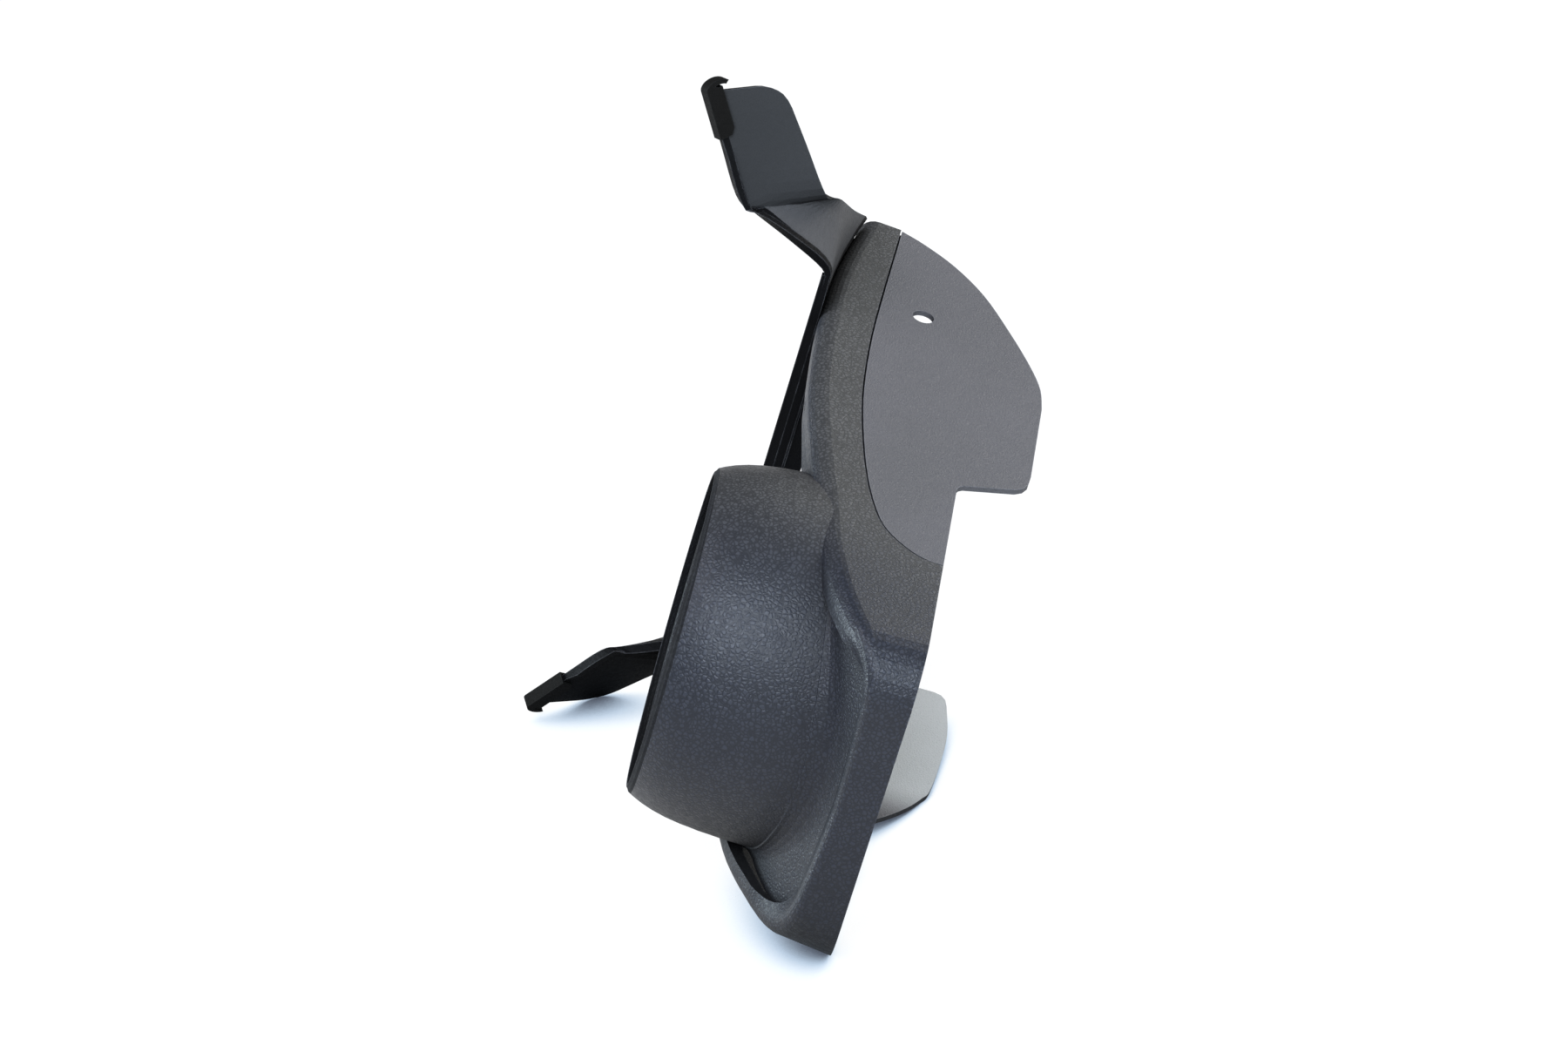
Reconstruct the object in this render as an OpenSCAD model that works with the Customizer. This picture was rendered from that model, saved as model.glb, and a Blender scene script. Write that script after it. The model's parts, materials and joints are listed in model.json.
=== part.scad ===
// Centre console pod: a moulded shell with a round pod collar, two let-in cheek panels and a mounting yoke.
// The parts are drawn in the pod's own axes: X across the cheeks, Y along the shell, Z along the collar.
// One placement at the end leans the whole set over, so that it stands on its side as it would on a table.

/* [Shell] */
// Width over the two cheeks
shell_w = 160; // [140:1:180]
// Wall of the moulded shell
wall = 2.5; // [2:0.1:3]
// Distance from the pod axis to the nose
nose_y = 101.5; // [98:0.5:108]
// Radius of the nose corners, seen along the pod axis
corner_r = 24; // [18:1:28]
// How much rounder the left nose corner gets towards its lip
left_corner_add = 9; // [0:1:12]
// Depth of the rear edge below the pod rim
rear_z = 100; // [97:0.5:104]
// Radius of the rounded front lip along the cheeks
lip_r = 8; // [6:0.5:9]
// Width of the flat land inside the rounded lip
land_w = 4; // [3:0.5:6]
// Depth of the return under the land
return_h = 6; // [5:0.5:8]
// Length of the shell behind the pod axis
far_y = 238.5; // [237:0.5:242]
// How much further the far end reaches at the lip than at its foot
far_slant = 2.5; // [0:0.5:4]
// Where the skin's far edge meets the lips, behind the collar
skin_end_y = 104; // [98:1:108]

/* [Collar] */
// Outer radius of the collar at its rim
rim_r = 70; // [66:0.5:72]
// How much wider the collar is at its root
flare = 10; // [8:0.5:10]
// Wall of the collar
collar_wall = 2.8; // [2.4:0.1:3.2]
// Radius of the blend at the collar's root
root_r = 6; // [4:0.5:7]

/* [Liner] */
// Step from the collar's rim in to the liner's bore
bore_inset = 8.5; // [8:0.5:12]
// Wall of the liner
liner_wall = 2; // [1.6:0.1:2.4]
// Depth of the liner's edge below the collar's rim
liner_drop = 3; // [2.5:0.5:5]
// Length of the liner
liner_h = 50; // [46:1:54]

/* [Cheek panels] */
// Thickness of a cheek panel
panel_t = 2.5; // [2:0.1:2.6]
// Gap round a cheek panel
seam = 0.8; // [0.5:0.1:1.2]
// Overlap of the shell's ledge behind the panel
ledge_w = 9; // [7:0.5:11]
// Diameter of the hole through a cheek panel
panel_hole_d = 9.6; // [6:0.2:12]

/* [Yoke] */
// Thickness of the yoke plate
yoke_t = 3; // [2.5:0.1:3.5]
// Near edge of the yoke, from the pod axis
yoke_near_y = 156; // [153:1:160]
// Far edge of the yoke at its root, from the pod axis
yoke_far_y = 234; // [228:1:235]
// Depth of the flange across the near edge
flange_h = 15; // [12:0.5:16]
// How far the near edge stands up above the plate
upstand_h = 1.2; // [0.5:0.1:2]
// How much shorter the left arm is than the right one
left_arm_short = 4; // [0:0.5:6]
// Height of the bead along the arm's near edge
bead_h = 1.3; // [0.8:0.1:1.8]

/* [Hook sleeves] */
// Thickness of a hook sleeve's strap
sleeve_t = 2.2; // [2:0.1:3]
// Width of a hook sleeve
sleeve_w = 8; // [7:0.5:11]
// How far the hook's curl reaches past the arm's end
curl_reach = 3.8; // [3.4:0.2:6]
// Half the width of the hook's curl
curl_half = 6.2; // [5:0.2:8]

/* [Fasteners] */
// Thread diameter of the screws
screw_d = 4; // [3:0.5:5]
// Length of the yoke screws under their heads
yoke_screw_len = 12; // [10:1:14]
// Length of the liner screws under their heads
liner_screw_len = 10; // [8:1:12]
// Length of the panel screws under their heads
panel_screw_len = 3.5; // [3:0.1:3.7]

/* [Stance] */
// Lean of the pod about its length, which lays it on its side
stance_roll = -65; // [-75:0.1:-55]
// Small pitch that brings the nose, the lobe and the arm down together
stance_pitch = 5.6; // [2:0.1:8]

/* [Hidden] */
$fn = 96;
slip = 0.2;
half_w = shell_w / 2;
bore_r = rim_r - bore_inset;
nose_lip_r = 5;
nose_land = 6;
lobe_drop = 30.2;

// A smooth curve through a few key points, with steps pieces between each two of them
function knot(p, i) = p[min(max(i, 0), len(p) - 1)];
function blend(a, b, c, d, t) =
  0.5 * (2 * b + (c - a) * t + (2 * a - 5 * b + 4 * c - d) * t * t + (3 * b - a - 3 * c + d) * t * t * t);
function curve(p, steps) = concat(
  [for (i = [0:len(p) - 2], k = [0:steps - 1])
    blend(knot(p, i - 1), p[i], p[i + 1], knot(p, i + 2), k / steps)],
  [p[len(p) - 1]]);
function mix(a, b, t) = a + (b - a) * t;
function unit(v) = v / norm(v);
function flip_x(v) = [for (k = [0:len(v) - 1]) k == 0 ? -v[k] : v[k]];
function reversed(p) = [for (i = [len(p) - 1:-1:0]) p[i]];
// Sideways copy of a flat curve
function beside(p, d) = [for (i = [0:len(p) - 1])
  let (t = unit(knot(p, i + 1) - knot(p, i - 1))) p[i] + d * [-t[1], t[0]]];

// Height of the front lip along a cheek, from the far end down to the nose corner
lip_keys = [[far_y, -37.5], [197, -31], [157, -28.6], [113, -29.3], [84, -31.3], [40, -37.8],
  [6, -44], [-20, -47.8], [-45, -54], [-62, -59.5], [corner_r - nose_y, -66]];
lip_curve = curve(lip_keys, 3);
lip_table = reversed(lip_curve);
function lip_z(y) = lookup(y, lip_table);
// The left cheek's lip stands higher between the pod and the nose
left_rise_keys = [[far_y, 0], [84, 0], [20, 0.8], [0, 4], [-20, 6.5], [-33, 6.6], [-45, 5.6], [-62, 2.2],
  [corner_r - nose_y, 0]];
left_rise_table = reversed(left_rise_keys);
// The same height round the nose corner, against the angle, and across the nose, against X
corner_keys = [[0, -66], [22, -70.2], [55, -76.6], [90, -79.8]];
corner_table = curve(corner_keys, 3);
nose_dip = -81.7;

// Edge between the shell and a cheek panel, from the far end round to the rear edge
seam_keys = [[far_y, -55.5], [186, -53], [143.5, -51.6], [110, -52], [82, -53.8], [48.4, -58.2],
  [22.7, -63.2], [1.5, -69.8], [-9, -76.5], [-17.2, -86], [-20.4, -93.5], [-21, -rear_z]];
seam_curve = curve(seam_keys, 3);
seam_table = reversed(seam_curve);
function wall_foot(y) = lookup(y, seam_table);

// Stations round the shell: point, inward direction, lip height, foot height, lip radius, land and
// how far the wall leans in at the lip
station_y = concat([for (p = lip_curve) if (p[0] > 30) p[0]],
  [24, 14, 6, 0, -5, -9, -13, -17.2, -19.4, -21],
  [for (p = lip_curve) if (p[0] < -24) p[0]]);
lean_from = -45;
cheek_stations = [for (y = concat(station_y, [corner_r - nose_y]))
  [[half_w, y], [-1, 0], lip_z(y), wall_foot(y), lip_r, land_w,
    [0, max(0, (lean_from - y) / (lean_from + nose_y - corner_r))]]];
corner_stations = [for (a = [10:10:80])
  [[half_w - corner_r + corner_r * cos(a), corner_r - nose_y - corner_r * sin(a)], [-cos(a), sin(a)],
    lookup(a, corner_table), -rear_z, mix(lip_r, nose_lip_r, a / 90), mix(land_w, nose_land, a / 90),
    [cos(a) - 1, 1 - sin(a)]]];
nose_stations = [for (k = [0:3])
  [[(half_w - corner_r) * (1 - k / 3), -nose_y], [0, 1],
    mix(lookup(90, corner_table), nose_dip, sin(30 * k)), -rear_z, nose_lip_r, nose_land, [k / 3 - 1, 0]]];
corner_y = corner_r - nose_y;
left_nose_rise = 1.2;
function nose_share(s) = s[1][1] * min(1, s[0][0] / (half_w - corner_r));
right_stations = concat(cheek_stations, corner_stations, nose_stations);
function upright(s) = [for (k = [0:6]) k == 6 ? [0, 0] : s[k]];
left_corner_rise = lip_z(corner_y + left_corner_add) - lip_z(corner_y);
function mirrored(s) = [[-s[0][0], s[0][1]], [-s[1][0], s[1][1]],
  s[2] + lookup(s[0][1] + s[6][1] * left_corner_add, left_rise_table)
    + s[6][1] * left_corner_rise + nose_share(s) * left_nose_rise,
  s[3], s[4], s[5], [-s[6][0], s[6][1]] * left_corner_add];
stations = concat([for (s = right_stations) upright(s)],
  [for (i = [len(right_stations) - 2:-1:0]) mirrored(right_stations[i])]);

// One section of the shell's wall: up the outside, over the lip, down the return and back inside
function wall_section(s) = let (top = s[2], foot = s[3], r = s[4], w = s[5], in_r = r - wall)
  [for (p = concat(
    [[0, foot]],
    [for (a = [0:15:90]) [r - r * cos(a), top - r + r * sin(a)]],
    [[r + w, top], [r + w, top - return_h], [r + w - wall, top - return_h], [r + w - wall, top - wall]],
    [for (a = [90:-15:0]) [r - in_r * cos(a), top - r + in_r * sin(a)]],
    [[wall, foot]]))
    let (rise = (p[1] - foot) / (top - foot), q = s[0] + s[1] * p[0] + s[6] * rise)
    [q[0], q[1] + (s[0][1] == far_y ? far_slant * rise : 0), p[1]]];

// Closed skin over a row of sections with as many points each; a cap joins first to last point, and so on
module loft(rows) {
  n = len(rows[0]);
  m = len(rows);
  points = [for (r = rows, p = r) p];
  sides = [for (i = [0:m - 2], k = [0:n - 1], h = [0, 1])
    let (a = i * n + k, b = i * n + (k + 1) % n, c = b + n, d = a + n) h == 0 ? [a, c, b] : [a, d, c]];
  caps = [for (k = [0:n / 2 - 2], h = [0, 1])
    let (a = k, b = k + 1, c = n - 2 - k, d = n - 1 - k) h == 0 ? [a, b, c] : [a, c, d]];
  end = (m - 1) * n;
  ends = [for (f = caps) [end + f[0], end + f[2], end + f[1]]];
  polyhedron(points, concat(sides, caps, ends), convexity = 12);
}

// Skin between the lips: its upper line from behind the collar down to the nose
skin_keys = [[skin_end_y, -29.6], [87, -30.8], [76, -33.2], [60, -37.6], [40, -42.2], [0, -49.5], [-20, -53], [-45, -58.5],
  [-62, -64.6], [-75, -71.4], [-85, -78.2], [nose_lip_r + 1 - nose_y, -84.4]];
skin_curve = curve(skin_keys, 3);
skin_table = reversed(skin_curve);
function skin_z(y) = lookup(y, skin_table);
inner_plan = [for (s = stations) if (s[0][1] < skin_end_y + 1) s[0] + s[1] * (s[4] + s[5] - wall / 2) + s[6]];
// Behind the collar the skin is open, from lip to lip
notch_keys = [[70, 99], [67, 90], [62, 79], [56, 69.5], [50, 62], [44, 57]];
notch_top = 130;
notch_curve = curve(notch_keys, 3);
module skin_plan() {
  difference() {
    polygon(inner_plan);
    polygon(concat([[-notch_keys[0][0], notch_top], [notch_keys[0][0], notch_top]], notch_curve,
      reversed([for (p = notch_curve) flip_x(p)])));
  }
}

// Upright prism of a side profile, across the whole width
module across(profile, width) {
  translate([-width / 2, 0, 0])
    rotate([90, 0, 90])
      linear_extrude(width)
        polygon(profile);
}

function collar_r(z) = rim_r + flare * (1 - exp(z / 16));
collar_foot = -78;
collar_z = [-1.4, -4, -8, -13, -19, -26, -34, -43, -54, -66, collar_foot];
function collar_profile(grow) = [for (z = collar_z) [collar_r(z) + grow, z]];

module collar_tube() {
  rotate_extrude()
    polygon(concat(
      [for (a = [120:-30:30]) [rim_r - collar_wall / 2 + collar_wall / 2 * cos(a) - 0.2,
        -collar_wall / 2 + collar_wall / 2 * sin(a)]],
      collar_profile(0), reversed(collar_profile(-collar_wall))));
}

// Blend between the collar and the sloping skin; its upper edge is a small ledge on the collar,
// whose height above the skin changes with the angle
root_at = rim_r + flare - 0.4;
root_ledge = 0.8;
root_h_keys = [[-90, 8], [-75, 7.6], [-60, 5.6], [-48, 3.4], [-38, 1.7], [-34, 1.5], [-31, 3.6], [-26, 4.8],
  [0, 4.6], [20, 3.4], [40, 3], [90, 3]];
function root_h(a) = lookup(asin(sin(a)), root_h_keys);
module collar_root() {
  rows = [for (i = [0:119]) let (a = i * 3, c = cos(a), s = sin(a), r0 = root_at, r1 = r0 + root_r,
    z0 = skin_z(r0 * s), z1 = skin_z(r1 * s), h = root_h(a), top = [r0 + root_ledge, z0 + h],
    low = [r0 + root_ledge, z0], out = [r1, z1])
    [for (p = concat(
      [[r0 - 1.4, z0 + h + 0.8], [r0 + root_ledge / 2, z0 + h + 0.3], top],
      [for (t = [0.15, 0.4, 0.7]) mix(mix(top, low, t), mix(low, out, t), t)],
      [[r1 + 0.8, z1 - 0.7], [r0 - 1.4, z0 - 1.3]])) [p[0] * c, p[0] * s, p[1]]]];
  m = len(rows);
  n = len(rows[0]);
  points = [for (r = rows, p = r) p];
  faces = [for (i = [0:m - 1], k = [0:n - 1], h = [0, 1])
    let (j = (i + 1) % m, a = i * n + k, b = i * n + (k + 1) % n, c = j * n + (k + 1) % n, d = j * n + k)
    h == 0 ? [a, c, b] : [a, d, c]];
  polyhedron(points, faces, convexity = 8);
}

// Everything above the underside of the skin
module above_skin() {
  across(concat([for (p = skin_curve) [p[0], p[1] - wall]],
    [[-nose_y, wall], [far_y, wall], [far_y, lip_keys[0][1] - wall]]), shell_w + 2);
}

module skin() {
  intersection() {
    translate([0, 0, -rear_z])
      linear_extrude(rear_z)
        skin_plan();
    across(concat(skin_curve, reversed([for (p = skin_curve) [p[0], p[1] - wall]])), shell_w);
  }
}

// Ledge behind each cheek panel, which its bosses pass through
ledge_t = 2.2;
ledge_front = 5;
screw_boss_r = 3.5;
panel_boss_y = [205, 160, 105, 45, 0];
function panel_boss_z(y) = lookup(y, seam_table) - 5.2;
module ledge() {
  inside = half_w - panel_t - slip - ledge_t;
  translate([inside, 0, 0])
    rotate([90, 0, 90])
      linear_extrude(ledge_t)
        polygon(concat(beside(seam_curve, ledge_w), reversed(beside(seam_curve, -ledge_front))));
  translate([inside, 0, 0])
    rotate([90, 0, 90])
      linear_extrude(half_w - inside - wall / 2)
        polygon(concat(beside(seam_curve, -0.6), reversed(beside(seam_curve, -ledge_front))));
}

// Cross piece of the shell under the yoke, with a boss for each yoke screw
bridge_near_y = 166;
yoke_gap = 0.3;
yoke_screw_x = 50;
yoke_screw_y = [178, 212];
yoke_boss_r = 4.5;
yoke_boss_h = 13;
module bridge() {
  rows = [for (t = [0:0.25:1]) let (y = mix(bridge_near_y, yoke_far_y, t)) [y, lip_z(y)]];
  across(concat(rows, reversed([for (p = rows) [p[0], p[1] - wall]])), shell_w - 2 * lip_r - land_w);
  for (x = [-1, 1] * yoke_screw_x, y = yoke_screw_y)
    translate([x, y, lip_z(y) - yoke_boss_h])
      cylinder(r = yoke_boss_r, h = yoke_boss_h - wall / 2);
  for (x = [-1, 0, 1] * yoke_screw_x)
    translate([x - 0.8, bridge_near_y, lip_z(yoke_far_y) - 7])
      cube([1.6, yoke_far_y - bridge_near_y, 6]);
}

// Bosses inside the collar for the liner's screws
liner_screw_r = bore_r + 8;
liner_boss_r = 4;
liner_boss_top = -32;
liner_ear_r = 5.5;
liner_flange_t = 2.5;
liner_flange_z = -47;
liner_rib_z = -40;
module liner_bosses() {
  for (a = [45:90:315])
    rotate(a)
      translate([liner_screw_r, 0, liner_flange_z + slip]) {
        cylinder(r = liner_boss_r, h = liner_boss_top - liner_flange_z);
        translate([0, -1, 0])
          cube([collar_r(liner_rib_z) - collar_wall / 2 - liner_screw_r, 2, liner_boss_top - liner_flange_z]);
      }
}

module console_shell() {
  color("#5b5d62")
    difference() {
      union() {
        loft([for (s = stations) wall_section(s)]);
        difference() {
          skin();
          translate([0, 0, -rear_z])
            cylinder(r = collar_r(liner_flange_z) - collar_wall - 2 * slip, h = rear_z);
        }
        intersection() {
          collar_tube();
          above_skin();
        }
        intersection() {
          collar_root();
          translate([0, 0, -rear_z])
            linear_extrude(rear_z)
              skin_plan();
        }
        liner_bosses();
        for (side = [0, 1])
          mirror([side, 0, 0])
            ledge();
        bridge();
      }
      for (a = [45:90:315])
        rotate(a)
          translate([liner_screw_r, 0, liner_flange_z - 1])
            cylinder(d = screw_d + 0.1, h = liner_screw_len + 2);
      for (x = [-1, 1] * yoke_screw_x, y = yoke_screw_y)
        translate([x, y, lip_z(y) - yoke_boss_h - 1])
          cylinder(d = screw_d + 0.1, h = yoke_boss_h + 2);
      for (side = [-1, 1], y = panel_boss_y)
        translate([side * (half_w - panel_t - ledge_t - 1), y, panel_boss_z(y)])
          rotate([0, 90 * side, 0])
            cylinder(r = screw_boss_r + slip, h = ledge_t + 1);
    }
}

// Sleeve inside the collar: bead under the rim, straight bore, ledge at the foot, screw flange
liner_top = -liner_drop;
bead_drop = 3;
foot_ledge = 7;
module pod_liner() {
  bead_r = collar_r(liner_top - bead_drop) - collar_wall - 2 * slip;
  bead_top_r = collar_r(liner_top - 1.2) - collar_wall - 2 * slip;
  bottom = liner_top - liner_h;
  flange_bottom = liner_flange_z - liner_flange_t;
  color("#141416")
    difference() {
      union() {
        rotate_extrude()
          polygon([[bore_r, liner_top - 0.6], [bore_r + 0.6, liner_top], [bead_top_r - 1.2, liner_top],
          [bead_top_r - 0.3, liner_top - 0.5], [bead_top_r, liner_top - 1.2], [bead_r, liner_top - bead_drop],
          [bore_r + liner_wall, liner_top - bead_drop - 1.5],
          [bore_r + liner_wall, bottom], [bore_r - foot_ledge, bottom],
          [bore_r - foot_ledge, bottom + liner_wall], [bore_r, bottom + liner_wall]]);
        for (a = [45:90:315])
          rotate(a)
            translate([0, 0, flange_bottom]) {
              translate([liner_screw_r, 0, 0])
                cylinder(r = liner_ear_r, h = liner_flange_t);
              translate([bore_r + liner_wall / 2, -liner_ear_r, 0])
                cube([liner_screw_r - bore_r - liner_wall / 2, 2 * liner_ear_r, liner_flange_t]);
            }
      }
      for (a = [45:90:315])
        rotate(a)
          translate([liner_screw_r, 0, flange_bottom - 1])
            cylinder(d = screw_d + 0.3, h = liner_flange_t + 2);
    }
}

// Screws with a domed head: head underside at the origin, shank down the Z axis
module screw(len, head_r, head_h) {
  translate([0, 0, -len])
    cylinder(d = screw_d, h = len + 0.1);
  difference() {
    rotate_extrude()
      polygon([[0, 0], [head_r, 0], [head_r, head_h * 0.45], [head_r * 0.86, head_h * 0.8],
        [head_r * 0.6, head_h], [0, head_h]]);
    for (a = [0, 90])
      rotate(a)
        translate([-head_r * 0.5, -0.4, head_h * 0.45])
          cube([head_r, 0.8, head_h]);
  }
}

module liner_screws() {
  color("#9a9ca0")
    for (a = [45:90:315])
      rotate(a)
        translate([liner_screw_r, 0, liner_flange_z - liner_flange_t])
          mirror([0, 0, 1])
            screw(liner_screw_len, 3.8, 2.4);
}

panel_head_r = 4.6;
panel_head_h = 1.8;
module panel_screws() {
  color("#9a9ca0")
    for (side = [-1, 1], y = panel_boss_y)
      translate([side * (half_w - panel_t - slip - ledge_t), y, panel_boss_z(y)])
        rotate([0, -90 * side, 0])
          screw(panel_screw_len, panel_head_r, panel_head_h);
}

// Outline of a cheek panel: along the seam, then round the lobe
lobe_z = -rear_z - lobe_drop;
lobe_keys = [[far_y - 1, -56], [231.5, -67], [220, -82], [202.5, -97], [178, -110.8],
  [155, -122], [138, lobe_z + 2], [122, lobe_z]];
lobe_near = [[66, lobe_z], [59.5, lobe_z + 0.6], [55.5, lobe_z + 2.4], [52.8, lobe_z + 5.6],
  [44.5, -rear_z - 2.6], [43, -rear_z - 0.9], [40.6, -rear_z]];
// The left panel has a shorter lobe, which points the other way
left_lobe_keys = [[118, lobe_z - 0.6], [96, lobe_z - 3], [72, lobe_z - 2], [50, lobe_z + 0.4],
  [43, lobe_z + 3.2], [33, lobe_z + 8.8], [21, lobe_z + 18.4], [9.5, -rear_z]];
left_lobe_far = [[126.6, -rear_z], [126.4, lobe_z + 6], [125.4, lobe_z + 2.6], [122.6, lobe_z + 0.4]];
hole_y = 170.7;
hole_z = -72.4;
panel_edge = beside(seam_curve, seam);
seam_side = concat([for (p = panel_edge) if (p[1] > -rear_z + 0.5 && p[0] < far_y - 1) p],
  [[-21 + seam, -rear_z]]);
right_outline = concat(seam_side, reversed(lobe_near), reversed(curve(lobe_keys, 4)));
left_rear_keys = [[190, -rear_z], [212, -rear_z + 3], [226, -rear_z + 10], [far_y - 1, -rear_z + 24]];
left_outline = concat(seam_side, reversed(curve(left_lobe_keys, 4)), reversed(left_lobe_far), left_rear_keys);
module side_panel(outline) {
  color("#6c6e72")
    difference() {
      union() {
        translate([half_w - panel_t, 0, 0])
          rotate([90, 0, 90])
            linear_extrude(panel_t)
              polygon(outline);
        for (y = panel_boss_y)
          translate([half_w - panel_t - ledge_t - slip, y, panel_boss_z(y)])
            rotate([0, 90, 0])
              cylinder(r = screw_boss_r, h = ledge_t + 1);
      }
      for (y = panel_boss_y)
        translate([half_w - panel_t - ledge_t - slip - 1, y, panel_boss_z(y)])
          rotate([0, 90, 0])
            cylinder(d = screw_d + 0.1, h = panel_screw_len + 1.2);
      translate([half_w - panel_t - 1, hole_y, hole_z])
        rotate([0, 90, 0])
          cylinder(d = panel_hole_d, h = panel_t + 2);
    }
}

// Near and far edges of the yoke's upper face on the right side, from the middle out to the arm's end
function seat_z(y) = lip_z(y) + yoke_gap + yoke_t;
root_x = half_w + 4;
root_droop = 3;
near_keys = [[root_x, yoke_near_y, seat_z(yoke_near_y)], [92, 156.2, -25], [98, 156.2, -23.2],
  [108, 155.2, -5.8], [117.5, 154.5, 13.5], [122.5, 154.6, 21.4], [143, 157, 33.6], [165, 159.5, 46.5]];
far_keys = [[root_x, yoke_far_y, seat_z(yoke_far_y) - root_droop], [92, 221, -31], [104, 203.6, -24.5],
  [112, 192, -21.6], [119, 182, -18.2], [127.5, 173.2, -13], [145, 176.5, 0], [166.7, 180.7, 16.5]];
arm_steps = 4;
near_edge = curve(near_keys, arm_steps);
far_edge = curve(far_keys, arm_steps);
arm_last = len(near_edge) - 1;
// The far corner of the arm's end is rounded, this far along the arm and this far across it
end_round = 9.5;
end_across = 12;
arm_step = norm(far_edge[arm_last] - far_edge[arm_last - 1]);
end_share = end_across / norm(far_edge[arm_last] - near_edge[arm_last]);
function edge_at(edge, back) = let (f = arm_last - back / arm_step, i = min(floor(f), arm_last - 1))
  mix(edge[i], edge[i + 1], f - i);
arm_stations = concat(
  [for (i = [0:arm_last]) if ((arm_last - i) * arm_step > end_round + 1) [near_edge[i], far_edge[i], 0]],
  [for (a = [0:15:90]) let (back = end_round * (1 - sin(a)))
    [edge_at(near_edge, back), edge_at(far_edge, back), end_share * (1 - cos(a))]]);
flat_x = [0, 20, 45, 66, 76];
flat_stations = [for (x = flat_x)
  [[x, yoke_near_y, seat_z(yoke_near_y)], [x, yoke_far_y, seat_z(yoke_far_y)], 0]];
half_yoke = concat(flat_stations, arm_stations);
// The left arm is drawn in beyond its bend
bend_x = 120;
arm_tip = near_keys[len(near_keys) - 1];
function drawn_in(v) = v - [left_arm_short * max(0, (v[0] - bend_x) / (arm_tip[0] - bend_x)), 0, 0];
yoke_rows = concat(
  [for (i = [len(half_yoke) - 1:-1:1]) let (s = half_yoke[i])
    [flip_x(drawn_in(s[0])), flip_x(drawn_in(s[1])), s[2], s[0][0]]],
  [for (s = half_yoke) concat(s, [s[0][0]])]);
function middle_of(s) = (s[0] + s[1]) / 2;
function way_at(i) = unit(middle_of(knot(yoke_rows, i + 1)) - middle_of(knot(yoke_rows, i - 1)));
function normal_at(i) = unit(cross(way_at(i), yoke_rows[i][1] - yoke_rows[i][0]));
// On the flat the plate bends with the shell's lip, and out on the arms it is straight across
function follow(i, t) = let (s = yoke_rows[i], y = mix(s[0][1], s[1][1], t),
  share = max(0, min(1, (flat_end - s[3]) / (flat_end - root_x))))
  share * (seat_z(y) - mix(seat_z(s[0][1]), seat_z(s[1][1]), t));
flat_end = 100;
bead_from = 96;
bead_to = 143;
bead_fade = 5;
function bead(i) = let (x = yoke_rows[i][3])
  bead_h * max(0, min(1, (x - bead_from) / bead_fade, (bead_to - x) / bead_fade));
bead_w = 3.2;
function yoke_section(i) = let (s = yoke_rows[i], n = normal_at(i), a = s[0], b = mix(s[1], s[0], s[2]),
  wide = norm(b - a), parts = [for (k = [0:6]) k < 2 ? k * bead_w / wide : mix((bead_w + 0.6) / wide, 1, (k - 2) / 4)],
  upper = [for (t = parts) mix(a, b, t) + [0, 0, follow(i, t * (1 - s[2]))]])
  concat(upper, [for (k = [6:-1:0]) upper[k] - n * (yoke_t + (k < 2 ? bead(i) : 0))]);

// Countersunk heads of the yoke's screws, just below its face
yoke_head_r = 4.2;
yoke_head_h = 2;
yoke_head_sink = 0.3;
flange_t = 2.6;
flange_half = half_w - lip_r - land_w - 1;
flange_bead = 1;
flange_bead_drop = 7.6;
upstand_half = 95;
module mounting_yoke() {
  color("#3c3d41")
    difference() {
      union() {
        loft([for (i = [len(yoke_rows) - 1:-1:0]) yoke_section(i)]);
        translate([-flange_half, yoke_near_y, seat_z(yoke_near_y) - flange_h])
          cube([2 * flange_half, flange_t, flange_h - 0.5]);
        translate([-flange_half, yoke_near_y - flange_bead * 0.7, seat_z(yoke_near_y) - flange_bead_drop])
          cube([2 * flange_half, flange_t, flange_bead]);
        translate([-upstand_half, yoke_near_y, seat_z(yoke_near_y) - 0.5])
          cube([2 * upstand_half, flange_t, upstand_h + 0.5]);
      }
      for (x = [-1, 1] * yoke_screw_x, y = yoke_screw_y)
        translate([x, y, seat_z(y) - yoke_head_sink]) {
          translate([0, 0, -yoke_t - 2])
            cylinder(d = screw_d + 2 * slip, h = 10);
          rotate_extrude()
            polygon([[0, -yoke_head_h], [screw_d / 2 + slip, -yoke_head_h], [yoke_head_r + slip, -slip],
              [yoke_head_r + slip, 3], [0, 3]]);
        }
    }
}

module yoke_screws() {
  color("#9a9ca0")
    for (x = [-1, 1] * yoke_screw_x, y = yoke_screw_y)
      translate([x, y, seat_z(y) - yoke_head_sink])
        difference() {
          rotate_extrude()
            polygon([[0, -yoke_screw_len], [screw_d / 2, -yoke_screw_len], [screw_d / 2, -yoke_head_h],
              [yoke_head_r, -slip], [yoke_head_r, 0], [0, 0]]);
          for (a = [0, 90])
            rotate(a)
              translate([-2, -0.4, -1.2])
                cube([4, 0.8, 2]);
        }
}

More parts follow.
